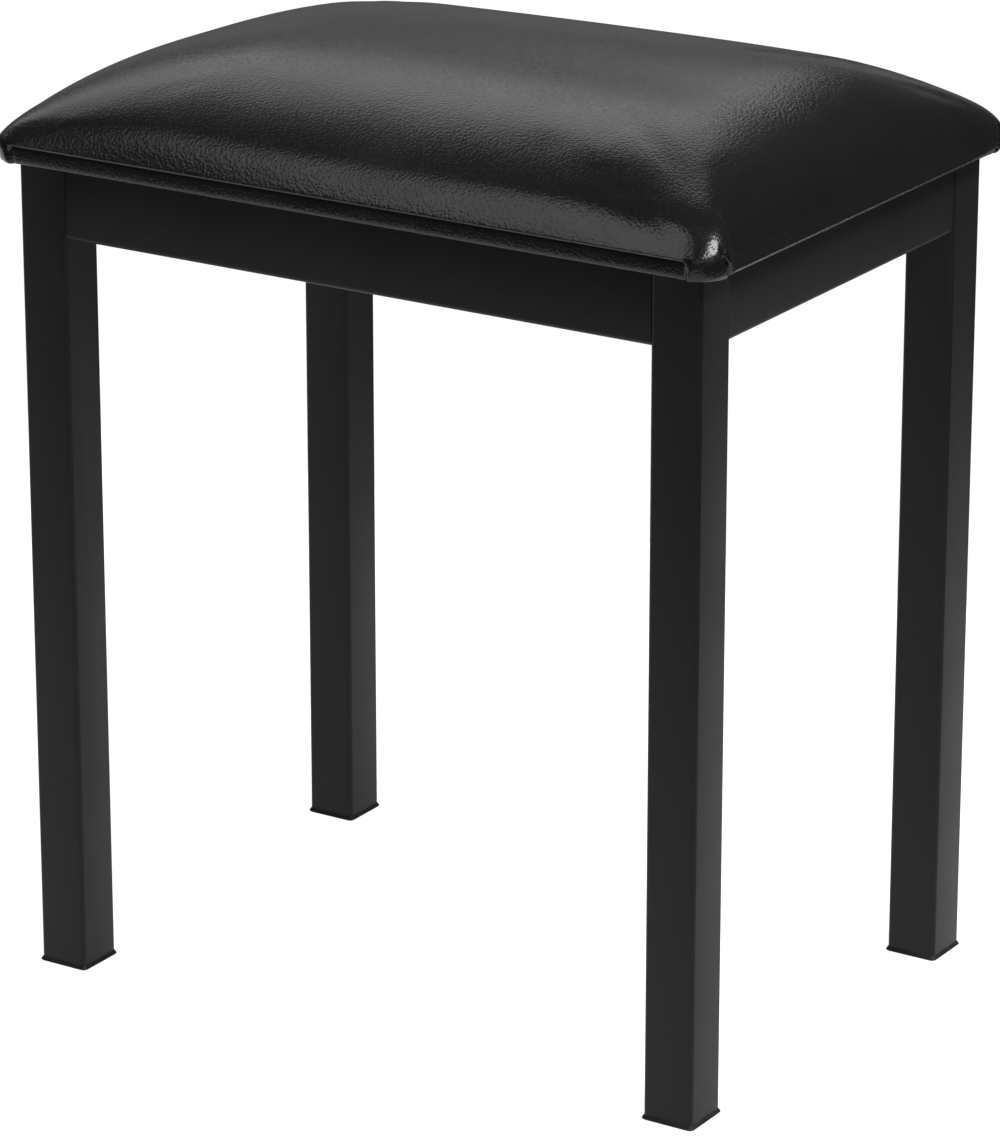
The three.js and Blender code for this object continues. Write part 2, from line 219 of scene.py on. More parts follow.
# Weld beads and staples, which are seen from below
BEAD_RADIUS = 0.0016
BEAD_STEP = 0.0005
BEAD_RIPPLE = 0.0019
BEAD_RIPPLE_SHARE = 0.14
BEAD_TAPER = 4
BEAD_END_SHARE = 0.35
BEAD_SIDES = 10
BEAD_INSET = 0.003
STAPLE_LENGTH = 0.011
STAPLE_WIRE = 0.00035
STAPLE_SIDES = 8
STAPLE_LIFT = 0.0008
STAPLE_BEND_SHARE = 0.3
STAPLE_INSET = 0.006
STAPLE_SPACING = 0.045
STAPLE_LEAN = 0.22
STAPLE_LEAN_STEP = 2.4

# The floor lies just under the feet. Its far edge steps in behind the left legs, whose faces
# mirror less of it than the right ones do.
FLOOR_LEVEL = -0.0003
FLOOR_OUTLINE = [
    (-1.8, -0.9),
    (0.72, -0.9),
    (0.72, 0.95),
    (0.38, 0.95),
    (0.38, 0.62),
    (-1.8, 0.62),
]
FLOOR_GREY = 0.3
FLOOR_ROUGHNESS = 0.9
FLOOR_GLOW = 1.0

# The surroundings are white behind the bench, and dim where they light it
SURROUND_SEEN = 1.05
SURROUND_LIGHT = 0.1

# Soft lights. Azimuth 0 stands in front of the bench, 90 to its right.
BENCH_MIDDLE = (0, 0, 0.35)
SEAT_FRONT = (0.12, -0.14, 0.45)
SEAT_LEFT = (-0.11, -0.1, 0.47)
LIGHTS = [
    # name, azimuth, elevation, distance, width, height, radiance, what it faces
    ("back_softbox", 228, 35.5, 2.8, 2.7, 1.08, 1.34, BENCH_MIDDLE),
    ("upper_back", 248, 47, 2.8, 1.4, 0.5, 0.25, BENCH_MIDDLE),
    ("left_reflector", 243, 49, 0.7, 0.32, 0.28, 0.28, SEAT_LEFT),
    ("low_back_wall", 215, 8, 2.9, 3.6, 0.9, 0.15, BENCH_MIDDLE),
    ("front_window", -43, 51, 1.1, 0.6, 0.56, 2.5, SEAT_FRONT),
    ("overhead", 0, 88, 2.2, 0.8, 0.8, 0.3, BENCH_MIDDLE),
    ("right_fill", 45, 18, 2.5, 3.2, 1.1, 1.0, BENCH_MIDDLE),
    ("right_key", 88, 50, 2.2, 1.6, 0.42, 32, BENCH_MIDDLE),
]


def smooth(values, start, end):
    """0 before start, 1 after end, and a soft step between them."""
    share = np.clip((values - start) / (end - start), 0, 1)
    return share * share * (3 - 2 * share)


def make_camera():
    data = bpy.data.cameras.new("camera")
    data.sensor_width = SENSOR
    data.lens = FOCAL_PIXELS / IMAGE_HEIGHT * SENSOR
    data.clip_start = CLIP_START
    data.clip_end = CLIP_END
    camera = bpy.data.objects.new("camera", data)
    bpy.context.scene.collection.objects.link(camera)
    turn_cos = math.cos(CAMERA_AZIMUTH)
    turn_sin = math.sin(CAMERA_AZIMUTH)
    camera.location = (
        CAMERA_SIDE * turn_cos + CAMERA_DISTANCE * turn_sin,
        CAMERA_SIDE * turn_sin - CAMERA_DISTANCE * turn_cos,
        CAMERA_HEIGHT,
    )
    camera.rotation_euler = (math.pi / 2 - CAMERA_PITCH, 0, CAMERA_AZIMUTH)
    bpy.context.scene.camera = camera


# Node helpers


def new_material(name):
    material = bpy.data.materials.new(name)
    material.use_nodes = True
    return material, material.node_tree, material.node_tree.nodes["Principled BSDF"]


def texture_node(tree, kind, coordinates, scale, **settings):
    node = tree.nodes.new(kind)
    node.inputs["Scale"].default_value = scale
    for name, value in settings.items():
        node.inputs[name].default_value = value
    tree.links.new(coordinates, node.inputs["Vector"])
    return node


def ramp(tree, value, low, high, first, second):
    """A value mapped from low..high onto first..second."""
    node = tree.nodes.new("ShaderNodeMapRange")
    node.inputs["From Min"].default_value = low
    node.inputs["From Max"].default_value = high
    node.inputs["To Min"].default_value = first
    node.inputs["To Max"].default_value = second
    tree.links.new(value, node.inputs["Value"])
    return node.outputs["Result"]


def mixed_colour(tree, factor, dark, light):
    node = tree.nodes.new("ShaderNodeMix")
    node.data_type = "RGBA"
    node.inputs["A"].default_value = (*dark, 1)
    node.inputs["B"].default_value = (*light, 1)
    tree.links.new(factor, node.inputs["Factor"])
    return node.outputs["Result"]


def add_bump(tree, height, distance, strength, after=None):
    node = tree.nodes.new("ShaderNodeBump")
    node.inputs["Distance"].default_value = distance
    node.inputs["Strength"].default_value = strength
    tree.links.new(height, node.inputs["Height"])
    if after is not None:
        tree.links.new(after, node.inputs["Normal"])
    return node.outputs["Normal"]


def object_coordinates(tree):
    return tree.nodes.new("ShaderNodeTexCoord").outputs["Object"]


# Materials


def powder_coat():
    """Black powder coat: a fine pebbled texture, with a slow change in gloss."""
    material, tree, shader = new_material("powder_coat")
    place = object_coordinates(tree)
    pebble = texture_node(tree, "ShaderNodeTexNoise", place, scale=1500, Detail=2)
    waves = texture_node(tree, "ShaderNodeTexNoise", place, scale=260, Detail=1)
    patches = texture_node(tree, "ShaderNodeTexNoise", place, scale=14, Detail=3)
    dark = (0.003, 0.003, 0.0032)
    light = (0.0058, 0.0057, 0.0059)
    colour = mixed_colour(tree, patches.outputs["Fac"], dark, light)
    tree.links.new(colour, shader.inputs["Base Color"])
    rough = ramp(tree, patches.outputs["Fac"], low=0.3, high=0.7, first=0.4, second=0.5)
    tree.links.new(rough, shader.inputs["Roughness"])
    shader.inputs["Specular IOR Level"].default_value = 0.19
    first = add_bump(tree, waves.outputs["Fac"], distance=0.0002, strength=0.16)
    normal = add_bump(tree, pebble.outputs["Fac"], distance=0.0001, strength=0.55, after=first)
    tree.links.new(normal, shader.inputs["Normal"])
    return material


def zinc_plate():
    """Bright zinc: fine grain and cloudy patches."""
    material, tree, shader = new_material("zinc_plate")
    place = object_coordinates(tree)
    grain = texture_node(tree, "ShaderNodeTexNoise", place, scale=700, Detail=4)
    patches = texture_node(tree, "ShaderNodeTexNoise", place, scale=90, Detail=2)
    dark = (0.42, 0.42, 0.4)
    light = (0.6, 0.6, 0.58)
    colour = mixed_colour(tree, patches.outputs["Fac"], dark, light)
    tree.links.new(colour, shader.inputs["Base Color"])
    shader.inputs["Metallic"].default_value = 1
    rough = ramp(tree, grain.outputs["Fac"], low=0.3, high=0.7, first=0.24, second=0.42)
    tree.links.new(rough, shader.inputs["Roughness"])
    normal = add_bump(tree, grain.outputs["Fac"], distance=0.0001, strength=0.2)
    tree.links.new(normal, shader.inputs["Normal"])
    return material


def foot_plastic():
    """Black moulded plastic: fine grain and lighter scuffs."""
    material, tree, shader = new_material("foot_plastic")
    place = object_coordinates(tree)
    grain = texture_node(tree, "ShaderNodeTexNoise", place, scale=1100, Detail=3)
    scuffs = texture_node(tree, "ShaderNodeTexNoise", place, scale=60, Detail=4)
    dark = (0.004, 0.004, 0.0045)
    light = (0.012, 0.012, 0.012)
    colour = mixed_colour(tree, scuffs.outputs["Fac"], dark, light)
    tree.links.new(colour, shader.inputs["Base Color"])
    rough = ramp(tree, scuffs.outputs["Fac"], low=0.35, high=0.7, first=0.5, second=0.68)
    tree.links.new(rough, shader.inputs["Roughness"])
    shader.inputs["Specular IOR Level"].default_value = 0.25
    normal = add_bump(tree, grain.outputs["Fac"], distance=0.0001, strength=0.35)
    tree.links.new(normal, shader.inputs["Normal"])
    return material


def vinyl():
    """Black leatherette: pebbles over a millimetre across, with shallow creases between them."""
    material, tree, shader = new_material("vinyl")
    place = object_coordinates(tree)
    bend = texture_node(tree, "ShaderNodeTexNoise", place, scale=420, Detail=2)
    shifted = tree.nodes.new("ShaderNodeVectorMath")
    shifted.operation = "MULTIPLY_ADD"
    shifted.inputs[1].default_value = (0.0014, 0.0014, 0.0014)
    tree.links.new(bend.outputs["Color"], shifted.inputs[0])
    tree.links.new(place, shifted.inputs[2])
    pebbles = texture_node(tree, "ShaderNodeTexVoronoi", shifted.outputs["Vector"], scale=620)
    pebbles.feature = "SMOOTH_F1"
    pebbles.inputs["Smoothness"].default_value = 0.3
    slow = texture_node(tree, "ShaderNodeTexNoise", place, scale=22, Detail=3)
    unevenness = texture_node(tree, "ShaderNodeTexNoise", place, scale=120, Detail=2)
    dark = (0.0036, 0.0032, 0.0038)
    light = (0.006, 0.0054, 0.0062)
    colour = mixed_colour(tree, slow.outputs["Fac"], dark, light)
    tree.links.new(colour, shader.inputs["Base Color"])
    rough = ramp(tree, slow.outputs["Fac"], low=0.3, high=0.7, first=0.2, second=0.26)
    tree.links.new(rough, shader.inputs["Roughness"])
    shader.inputs["Specular IOR Level"].default_value = 0.3
    shader.inputs["Specular Tint"].default_value = (1, 0.965, 0.985, 1)
    broad = add_bump(tree, unevenness.outputs["Fac"], distance=0.0003, strength=0.1)
    rounded = ramp(tree, pebbles.outputs["Distance"], low=0, high=0.7, first=1, second=0)
    normal = add_bump(tree, rounded, distance=0.00013, strength=0.7, after=broad)
    tree.links.new(normal, shader.inputs["Normal"])
    return material


def board_wood():
    """Raw plywood with its grain along the bench."""
    material, tree, shader = new_material("board_wood")
    place = object_coordinates(tree)
    stretched = tree.nodes.new("ShaderNodeVectorMath")
    stretched.operation = "MULTIPLY"
    stretched.inputs[1].default_value = (0.12, 1, 1)
    tree.links.new(place, stretched.inputs[0])
    grain = texture_node(tree, "ShaderNodeTexNoise", stretched.outputs["Vector"], scale=320, Detail=5)
    dark = (0.33, 0.19, 0.08)
    light = (0.56, 0.38, 0.2)
    colour = mixed_colour(tree, grain.outputs["Fac"], dark, light)
    tree.links.new(colour, shader.inputs["Base Color"])
    rough = ramp(tree, grain.outputs["Fac"], low=0.3, high=0.7, first=0.6, second=0.8)
    tree.links.new(rough, shader.inputs["Roughness"])
    normal = add_bump(tree, grain.outputs["Fac"], distance=0.0002, strength=0.3)
    tree.links.new(normal, shader.inputs["Normal"])
    return material


def dust_fabric():
    """Thin black non-woven cloth: matted fibres and a grid of pressed dots."""
    material, tree, shader = new_material("dust_fabric")
    place = object_coordinates(tree)
    fibres = texture_node(tree, "ShaderNodeTexNoise", place, scale=900, Detail=5, Roughness=0.7)
    dots = texture_node(tree, "ShaderNodeTexVoronoi", place, scale=520, Randomness=0.15)
    dark = (0.006, 0.006, 0.007)
    light = (0.022, 0.022, 0.024)
    colour = mixed_colour(tree, fibres.outputs["Fac"], dark, light)
    tree.links.new(colour, shader.inputs["Base Color"])
    rough = ramp(tree, fibres.outputs["Fac"], low=0.3, high=0.7, first=0.85, second=0.98)
    tree.links.new(rough, shader.inputs["Roughness"])
    shader.inputs["Specular IOR Level"].default_value = 0.15
    first = add_bump(tree, dots.outputs["Distance"], distance=0.0001, strength=0.5)
    normal = add_bump(tree, fibres.outputs["Fac"], distance=0.0002, strength=0.4, after=first)
    tree.links.new(normal, shader.inputs["Normal"])
    return material


MATERIALS = {
    "powder_coated_steel": powder_coat(),
    "zinc_plated_steel": zinc_plate(),
    "foot_plastic": foot_plastic(),
    "cover_vinyl": vinyl(),
    "board_wood": board_wood(),
    "dust_cloth": dust_fabric(),
}


def dress_cad_nodes():
    """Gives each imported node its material, and rounds the shading of its faceted curves."""
    slots = {part["node"]: part["material_slot"] for part in frame["record"]["subparts"]}
    for name, node in nodes.items():
        material = MATERIALS.get(slots[name])
        if material is None:
            continue
        node.data.materials.clear()
        node.data.materials.append(material)
        if "custom_normal" in node.data.attributes:
            node.data.attributes.remove(node.data.attributes["custom_normal"])
        node.data.polygons.foreach_set("use_smooth", [True] * len(node.data.polygons))
        weld = node.modifiers.new("weld", "WELD")
        weld.merge_threshold = WELD_DISTANCE
        split = node.modifiers.new("edges", "EDGE_SPLIT")
        split.split_angle = math.radians(SHARP_ANGLE)
        split.use_edge_sharp = False


# The cushion


def side_shares(length):
    """Places along a straight side, as shares of it: fine near both ends."""
    fine = np.arange(1, int(FINE_LENGTH / FINE_STEP) + 1) * FINE_STEP
    middle_length = length - 2 * FINE_LENGTH
    count = int(middle_length / COARSE_STEP)
    middle = FINE_LENGTH + middle_length * np.arange(1, count) / count
    return np.concatenate([fine, middle, length - fine[::-1]]) / length


def make_columns():
    """One entry per column round the seat. centre is the signs of the arc's centre, out the
    outward direction, pull how far the side draws in there, and along its distance from
    the nearest corner's middle, positive towards the short side."""
    arcs = [
        {"sign": (1, -1), "start": -0.5, "to_short": 1},
        {"sign": (1, 1), "start": 0, "to_short": -1},
        {"sign": (-1, 1), "start": 0.5, "to_short": 1},
        {"sign": (-1, -1), "start": 1, "to_short": -1},
    ]
    lengths = [2 * (HALF_DEPTH - CORNER_RADIUS), 2 * (HALF_LENGTH - CORNER_RADIUS)] * 2
    half_arc = CORNER_RADIUS * math.pi / 4
    centre, out, pull, along = [], [], [], []
    for index, arc in enumerate(arcs):
        following = arcs[(index + 1) % len(arcs)]
        for step in range(ARC_STEPS + 1):
            share = step / ARC_STEPS
            angle = (arc["start"] + 0.5 * share) * math.pi
            centre.append(arc["sign"])
            out.append((math.cos(angle), math.sin(angle)))
            pull.append(0)
            along.append(arc["to_short"] * (2 * share - 1) * half_arc)
        angle = (arc["start"] + 0.5) * math.pi
        for share in side_shares(lengths[index]):
            start = np.array(arc["sign"], float)
            end = np.array(following["sign"], float)
            centre.append(tuple(start + (end - start) * share))
            out.append((math.cos(angle), math.sin(angle)))
            passed = share * lengths[index]
            left = (1 - share) * lengths[index]
            if index % 2:
                pull.append(LONG_PULL * 4 * share * (1 - share))
            elif index == 0:
                ends = smooth(passed, 0, FRONT_PULL_LENGTH) * smooth(left, 0, REAR_PULL_LENGTH)
                pull.append(RIGHT_PULL * ends)
            else:
                ends = smooth(left, 0, FRONT_PULL_LENGTH) * smooth(passed, 0, REAR_PULL_LENGTH)
                pull.append(LEFT_PULL * ends)
            if passed < left:
                along.append(arc["to_short"] * (half_arc + passed))
            else:
                along.append(-following["to_short"] * (half_arc + left))
    return tuple(np.array(values, float) for values in (centre, out, pull, along))


def ring_points(columns, half_length, half_depth, radius, height, pull_share=0):
    """One ring of points. height is a number or a function of x and y before the pull."""
    centre, out, pull, _ = columns
    x = centre[:, 0] * (half_length - radius) + out[:, 0] * radius
    y = centre[:, 1] * (half_depth - radius) + out[:, 1] * radius
    z = height(x, y) if callable(height) else np.full_like(x, height)
    inward = pull * pull_share
    return np.stack([x - inward * out[:, 0], y - inward * out[:, 1], z], 1)


def crown_share(distance, reach, power, edge):
    """The crown's height as a share, 0 at the edge. The larger edge is, the less steep it
    starts."""

    def rise(inward):
        beyond = np.clip(1 - inward / reach, 0, 1)
        return np.sqrt(1 - beyond**power)

    start = rise(edge)
    return (rise(distance + edge) - start) / (1 - start)


def inset(x, y):
    """How far inside the bulge's rounded outline a point lies, and how far from the middle
    of the nearest corner's arc."""
    radius = CORNER_RADIUS + BULGE_OUT
    past_x = np.abs(x) - (HALF_LENGTH + BULGE_OUT - radius)
    past_y = np.abs(y) - (HALF_DEPTH + BULGE_OUT - radius)
    outside = np.hypot(np.maximum(past_x, 0), np.maximum(past_y, 0))
    depth = np.maximum(radius - outside - np.minimum(np.maximum(past_x, past_y), 0), 0)
    return depth, np.hypot(past_x, past_y)


def eased(share):
    """A share of the way to one side, 0 on the other half, without a kink at the middle."""
    positive = np.maximum(share, 0)
    return positive**2 / (positive + CROWN_EASING)


def unevenness_share(x, y):
    """The crown's height there as a share of what an even crown would have."""
    right_share = x / (HALF_LENGTH + BULGE_OUT)
    rear_share = y / (HALF_DEPTH + BULGE_OUT)
    level_corner = CROWN_LEVELLING * eased(right_share) * eased(-rear_share)
    lean = CROWN_LEAN * right_share + END_SINK * right_share**2 + END_LEAN * right_share**3
    return 1 + lean + CROWN_TWIST * (right_share * rear_share + level_corner)


def crown_height(x, y, short_share):
    """A crown that falls to each side, on a lip along the whole edge."""
    across = np.maximum(HALF_LENGTH + BULGE_OUT - np.abs(x), 0)
    along = np.maximum(HALF_DEPTH + BULGE_OUT - np.abs(y), 0)
    reach = np.where(x < 0, LEFT_REACH, RIGHT_REACH)
    start = np.where(y < 0, FRONT_EDGE, CROWN_EDGE)
    shares = crown_share(across, reach, LENGTH_POWER, CROWN_EDGE)
    shares *= crown_share(along, DEPTH_REACH, DEPTH_POWER, start)
    shares *= unevenness_share(x, y)
    depth, from_corner = inset(x, y)
    lift = CORNER_LIFT * np.exp(-((from_corner / CORNER_WIDTH) ** 2)) * (x > 0) * (y < 0)
    beyond = np.clip(1 - depth / LIP_WIDTH, 0, 1)
    creased = 1 - beyond**LIP_POWER
    rounded = np.sqrt(1 - beyond**2)
    drop = SHORT_DROP * short_share
    lip = (LIP_RISE + lift + drop) * (creased + (rounded - creased) * short_share) - drop
    return CROWN_BASE + CROWN_RISE * shares + lip


def cushion_rings(columns):
    """Rings of the closed cushion, from the board recess out over the hem and up to the crown."""
    _, _, _, along = columns

    def level(outward, height, pull_share=0):
        radius = max(CORNER_RADIUS + outward, SKIN)
        half_length = HALF_LENGTH + outward
        half_depth = HALF_DEPTH + outward
        return ring_points(columns, half_length, half_depth, radius, height, pull_share)

    recess = -(SKIN + SKIN_GAP)
    hem_top = SEAT_BOTTOM + SKIN - SKIN_GAP
    rings = [
        level(recess, BOARD_TOP + SKIN_GAP),
        level(recess, hem_top),
        level(-HEM_WIDTH, hem_top),
        level(-HEM_WIDTH, SEAT_BOTTOM),
    ]
    short_share = smooth(along, PLEAT_START - PLEAT_RAMP, PLEAT_START + PLEAT_RAMP)[:, None]
    for (long_out, long_rise), (short_out, short_rise) in zip(LONG_PROFILE, SHORT_PROFILE):
        long_pull = smooth(long_rise, LONG_PULL_START, LONG_PROFILE[-1][1])
        short_pull = smooth(short_rise, SHORT_PULL_START, SHORT_PROFILE[-1][1])
        long_ring = level(long_out, SEAT_BOTTOM + long_rise, long_pull)
        short_ring = level(short_out, SEAT_BOTTOM + short_rise, short_pull)
        rings.append(long_ring + (short_ring - long_ring) * short_share)
    half_arc = CORNER_RADIUS * math.pi / 4
    round_share = smooth(along, ROUND_START_SHARE * half_arc, ROUND_END_SHARE * half_arc)
    for step in range(CROWN_RINGS):
        scale = 1 - (step / CROWN_RINGS) ** 2
        rings.append(
            ring_points(
                columns,
                (HALF_LENGTH + BULGE_OUT) * scale,
                (HALF_DEPTH + BULGE_OUT) * scale,
                (CORNER_RADIUS + BULGE_OUT) * scale,
                lambda x, y: crown_height(x, y, round_share),
                1 - smooth(1 - scale, 0, PULL_FADE),
            )
        )
    return rings


def mesh_from_rings(name, rings, first_pole, last_pole):
    count = len(rings[0])
    points = np.concatenate([[first_pole], *rings, [last_pole]])
    faces = []
    last = len(points) - 1
    top = 1 + (len(rings) - 1) * count
    for k in range(count):
        following = (k + 1) % count
        faces.append((0, 1 + following, 1 + k))
        for level in range(len(rings) - 1):
            lower = 1 + level * count
            upper = lower + count
            faces.append((lower + k, lower + following, upper + following, upper + k))
        faces.append((top + k, top + following, last))
    mesh = bpy.data.meshes.new(name)
    mesh.from_pydata(points.tolist(), [], faces)
    mesh.polygons.foreach_set("use_smooth", [True] * len(mesh.polygons))
    mesh.update()
    piece = bpy.data.objects.new(name, mesh)
    bpy.context.scene.collection.objects.link(piece)
    return piece


def pleat(points, columns):
    """Folds the cover round each corner: a raised flap that ends in a tuck on the short side."""
    _, out, _, along = columns
    count = len(out)
    half_arc = CORNER_RADIUS * math.pi / 4
    for level in range(UNDERSIDE_RINGS, (len(points) - 2) // count):
        start = 1 + level * count
        ring = points[start : start + count]
        height = ring[:, 2] - SEAT_BOTTOM
        rise_share = np.clip(height / PLEAT_TOP, 0, 1)
        fade = 1 - smooth(height, PLEAT_FADE_START, PLEAT_FADE_END)
        edge = PLEAT_START + PLEAT_LEAN * rise_share
        tuck_share = np.clip(1 - height / TUCK_HEIGHT, 0, 1) ** TUCK_POWER
        past = along - (half_arc + TUCK_TOP + TUCK_LEAN * tuck_share)
        flap = smooth(along, edge, edge + PLEAT_RAMP) * (past <= 0)
        from_fold = (along - edge + FOLD_WIDTH) / FOLD_WIDTH
        fold = np.exp(-(from_fold**2)) * (1 - smooth(height, FOLD_FADE_START, FOLD_FADE_END))
        groove = (past > 0) * (1 - smooth(past, TUCK_FLOOR, TUCK_WIDTH))
        curl = smooth(past, TUCK_FLOOR, TUCK_WIDTH) * (1 - smooth(past, TUCK_WIDTH, TUCK_CURL_END))
        outward = PLEAT_THICKNESS * flap - TUCK_DEPTH * groove + TUCK_CURL * curl
        outward = outward * fade - FOLD_DEPTH * fold
        ring[:, 0] += out[:, 0] * outward
        ring[:, 1] += out[:, 1] * outward
        droop = smooth(along, DROOP_START, PLEAT_START) * (past <= 0)
        ring[:, 2] -= PLEAT_DROOP * droop * (1 - smooth(height, 0, DROOP_HEIGHT))
        points[start : start + count] = ring
    return points


def simulate_skin(rings):
    """Settles a remeshed copy of the crown with Cloth, pinned below the crease. Returns where
    its points began and how far each one moved."""
    crown = rings[UNDERSIDE_RINGS + len(LONG_PROFILE) :]
    low_pole = (0, 0, crown[0][0][2])
    high_pole = (0, 0, CROWN_TOP)
    pad = mesh_from_rings("cushion_settling", crown, low_pole, high_pole)
    remesh = pad.modifiers.new("remesh", "REMESH")
    remesh.mode = "VOXEL"
    remesh.voxel_size = SIM_VOXEL
    remesh.use_smooth_shade = True
    bpy.context.view_layer.objects.active = pad
    pad.select_set(True)
    bpy.ops.object.modifier_apply(modifier="remesh")
    before = np.array([v.co for v in pad.data.vertices], float)
    pins = pad.vertex_groups.new(name="pins")
    for index, point in enumerate(before):
        if point[2] < CROWN_BASE + SIM_PIN_HEIGHT:
            pins.add([index], 1, "REPLACE")
    cloth = pad.modifiers.new("cloth", "CLOTH")
    for name, value in SIM_CLOTH.items():
        setattr(cloth.settings, name, value)
    cloth.settings.effector_weights.gravity = 0
    cloth.collision_settings.use_collision = False
    cloth.point_cache.frame_start = 1
    cloth.point_cache.frame_end = SIM_FRAMES
    scene = bpy.context.scene
    for number in range(1, SIM_FRAMES + 1):
        scene.frame_set(number)
    settled = pad.evaluated_get(bpy.context.evaluated_depsgraph_get())
    after = np.array([v.co for v in settled.data.vertices], float)
    scene.frame_set(1)
    bpy.data.objects.remove(pad)
    moved = after - before
    length = np.linalg.norm(moved, axis=1, keepdims=True)
    moved *= np.minimum(1, SIM_CAP / np.maximum(length, SIM_CAP))
    return before, moved


def settle(points, rings):
    """Moves the cushion's crown as the simulated skin moved, less its average swelling."""
    before, moved = simulate_skin(rings)
    lifted = before[:, 2] > CROWN_BASE + CROWN_RISE / 2
    moved[:, 2] -= np.median(moved[lifted, 2])
    tree = KDTree(len(before))
    for index, point in enumerate(before):
        tree.insert(point, index)
    tree.balance()
    share = SIM_SHARE * smooth(points[:, 2], CROWN_BASE, CROWN_BASE + SIM_START_HEIGHT)
    for index in np.nonzero(share > 0)[0]:
        near = tree.find_n(points[index], SIM_NEIGHBOURS)
        weights = np.array([1 / (distance + SIM_NEAREST) for _, _, distance in near])
        shift = np.array([moved[other] for _, other, _ in near])
        points[index] += share[index] * (weights[:, None] * shift).sum(0) / weights.sum()
    return points


def make_cushion():
    columns = make_columns()
    rings = cushion_rings(columns)
    low_pole = (0, 0, BOARD_TOP + SKIN_GAP)
    high_pole = (0, 0, CROWN_TOP)
    cushion = mesh_from_rings("seat_cushion", rings, low_pole, high_pole)
    points = np.array([v.co for v in cushion.data.vertices], float)
    points = settle(points, rings)
    points = pleat(points, columns)
    cushion.data.vertices.foreach_set("co", points.astype(np.float32).ravel())
    cushion.data.update()
    cushion.data.materials.append(MATERIALS["cover_vinyl"])
    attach(cushion, "root")
    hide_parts("seat_foam", "seat_cover")


# Weld beads and staples


def tube(name, path, radii, sides, slot):
    """A closed tube along a path, with a radius at each of its points."""
    path = [Vector(point) for point in path]
    points = []
    for index, point in enumerate(path):
        ahead = path[min(index + 1, len(path) - 1)] - path[max(index - 1, 0)]
        turn = ahead.to_track_quat("Z", "Y")
        for side in range(sides):
            angle = 2 * math.pi * side / sides
            around = Vector((math.cos(angle), math.sin(angle), 0)) * radii[index]
            points.append(tuple(point + turn @ around))
    faces = [tuple(range(sides))[::-1], tuple(range(len(points) - sides, len(points)))]
    for level in range(len(path) - 1):
        for side in range(sides):
            following = (side + 1) % sides
            lower = level * sides
            upper = lower + sides
            faces.append((lower + side, lower + following, upper + following, upper + side))
    mesh = bpy.data.meshes.new(name)
    mesh.from_pydata(points, [], faces)
    mesh.polygons.foreach_set("use_smooth", [True] * len(mesh.polygons))
    mesh.materials.append(MATERIALS[slot])
    piece = bpy.data.objects.new(name, mesh)
    bpy.context.scene.collection.objects.link(piece)
    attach(piece, "root")


def weld_bead(name, start, end):
    """A rippled bead laid into the corner between two faces."""
    start = Vector(start)
    end = Vector(end)
    length = (end - start).length
    count = int(length / BEAD_STEP)
    path = []
    radii = []
    for step in range(count + 1):
        share = step / count
        path.append(start.lerp(end, share))
        ripple = abs(math.sin(math.pi * share * length / BEAD_RIPPLE))
        ripple_share = 1 - BEAD_RIPPLE_SHARE * (1 - ripple)
        end_share = min(1, BEAD_TAPER * min(share, 1 - share) + BEAD_END_SHARE)
        radii.append(BEAD_RADIUS * ripple_share * end_share)
    tube(name, path, radii, BEAD_SIDES, "powder_coated_steel")


def make_weld_beads():
    """Beads where each short rail meets its two legs, on the inside and underneath."""
    for side_name, side in (("left", -1), ("right", 1)):
        rail_low, rail_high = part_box("rail_" + side_name)
        inner = rail_low.x if side > 0 else rail_high.x
        outer = rail_high.x if side > 0 else rail_low.x
        for end_name, edge in (("front", rail_low.y), ("rear", rail_high.y)):
            name = "weld_%s_%s" % (end_name, side_name)
            low = (inner, edge, rail_low.z + BEAD_INSET)
            high = (inner, edge, rail_high.z - BEAD_INSET)
            weld_bead(name + "_inside", low, high)
            near = (inner + side * BEAD_INSET, edge, rail_low.z)
            far = (outer - side * BEAD_INSET, edge, rail_low.z)
            weld_bead(name + "_under", near, far)


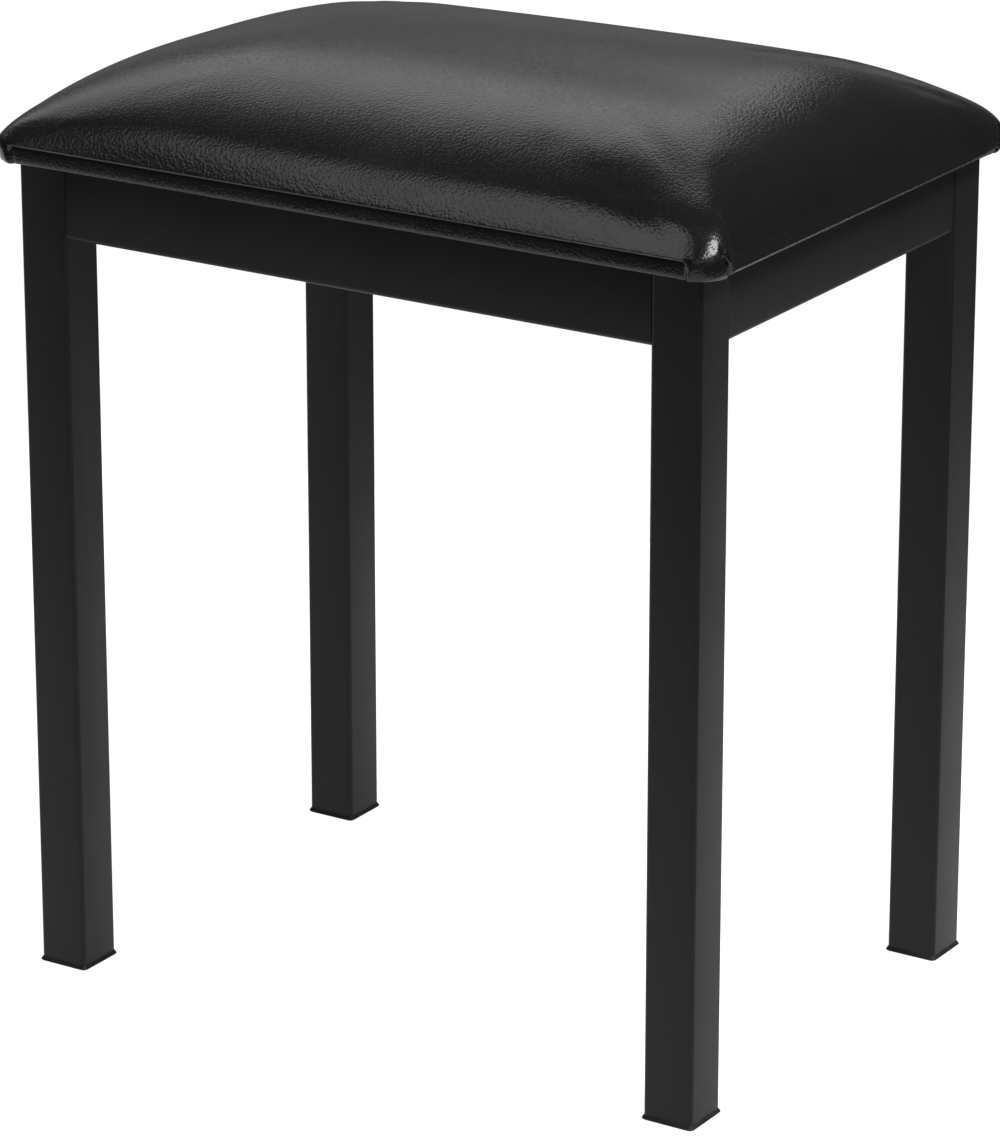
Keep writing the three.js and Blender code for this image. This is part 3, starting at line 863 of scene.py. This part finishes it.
def make_staples():
    """Staples that hold the dust cloth under the board, in a row just inside the rails."""
    cloth_low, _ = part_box("dust_cloth")
    _, left_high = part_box("rail_left")
    _, front_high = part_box("rail_front")
    half_x = -left_high.x - STAPLE_INSET
    half_y = -front_high.y - STAPLE_INSET
    places = []
    for half_run, half_off, lengthwise in ((half_x, half_y, True), (half_y, half_x, False)):
        count = round(2 * half_run / STAPLE_SPACING)
        for index in range(count):
            along = half_run * (2 * (index + 0.5) / count - 1)
            for sign in (-1, 1):
                places.append((along, sign * half_off, lengthwise))
    top = Vector((0, 0, cloth_low.z + STAPLE_WIRE))
    low = Vector((0, 0, cloth_low.z - STAPLE_LIFT))
    between = (top + low) / 2
    for index, (along, off, lengthwise) in enumerate(places):
        lean = STAPLE_LEAN * math.sin(STAPLE_LEAN_STEP * index)
        middle = Vector((along, off, 0)) if lengthwise else Vector((off, along, 0))
        direction = Vector((math.cos(lean), math.sin(lean), 0))
        if not lengthwise:
            direction = Vector((-direction.y, direction.x, 0))
        half = direction * STAPLE_LENGTH / 2
        bend = direction * STAPLE_LIFT
        path = [
            middle - half + top,
            middle - half + bend * STAPLE_BEND_SHARE + between,
            middle - half + bend + low,
            middle + low,
            middle + half - bend + low,
            middle + half - bend * STAPLE_BEND_SHARE + between,
            middle + half + top,
        ]
        radii = [STAPLE_WIRE] * len(path)
        tube("staple_%02d" % index, path, radii, STAPLE_SIDES, "zinc_plated_steel")


# Floor and light


def area_light(name, azimuth, elevation, distance, width, height, radiance, target):
    """A soft light that faces a place on the bench, and that the camera doesn't see."""
    data = bpy.data.lights.new(name, "AREA")
    data.shape = "RECTANGLE"
    data.size = width
    data.size_y = height
    data.energy = radiance * math.pi * width * height
    light = bpy.data.objects.new(name, data)
    bpy.context.scene.collection.objects.link(light)
    turn = math.radians(azimuth)
    rise = math.radians(elevation)
    level_share = math.cos(rise)
    away = Vector((math.sin(turn) * level_share, -math.cos(turn) * level_share, math.sin(rise)))
    light.location = Vector(target) + away * distance
    light.rotation_mode = "QUATERNION"
    light.rotation_quaternion = away.to_track_quat("Z", "Y")
    light.visible_camera = False


def make_stage():
    mesh = bpy.data.meshes.new("floor")
    points = [(x, y, FLOOR_LEVEL) for x, y in FLOOR_OUTLINE]
    mesh.from_pydata(points, [], [tuple(range(len(points)))])
    floor = bpy.data.objects.new("floor", mesh)
    bpy.context.scene.collection.objects.link(floor)
    material, _, shader = new_material("floor")
    shader.inputs["Base Color"].default_value = (FLOOR_GREY, FLOOR_GREY, FLOOR_GREY, 1)
    shader.inputs["Roughness"].default_value = FLOOR_ROUGHNESS
    shader.inputs["Emission Color"].default_value = (1, 1, 1, 1)
    shader.inputs["Emission Strength"].default_value = FLOOR_GLOW
    mesh.materials.append(material)


def make_lights():
    scene = bpy.context.scene
    scene.view_settings.view_transform = "Standard"
    world = bpy.data.worlds.new("studio")
    scene.world = world
    world.use_nodes = True
    tree = world.node_tree
    background = tree.nodes["Background"]
    path = tree.nodes.new("ShaderNodeLightPath")
    seen = path.outputs["Is Camera Ray"]
    strength = ramp(tree, seen, low=0, high=1, first=SURROUND_LIGHT, second=SURROUND_SEEN)
    tree.links.new(strength, background.inputs["Strength"])
    background.inputs["Color"].default_value = (1, 1, 1, 1)
    for light in LIGHTS:
        area_light(*light)


make_camera()
make_stage()
make_lights()
dress_cad_nodes()
make_cushion()
make_weld_beads()
make_staples()
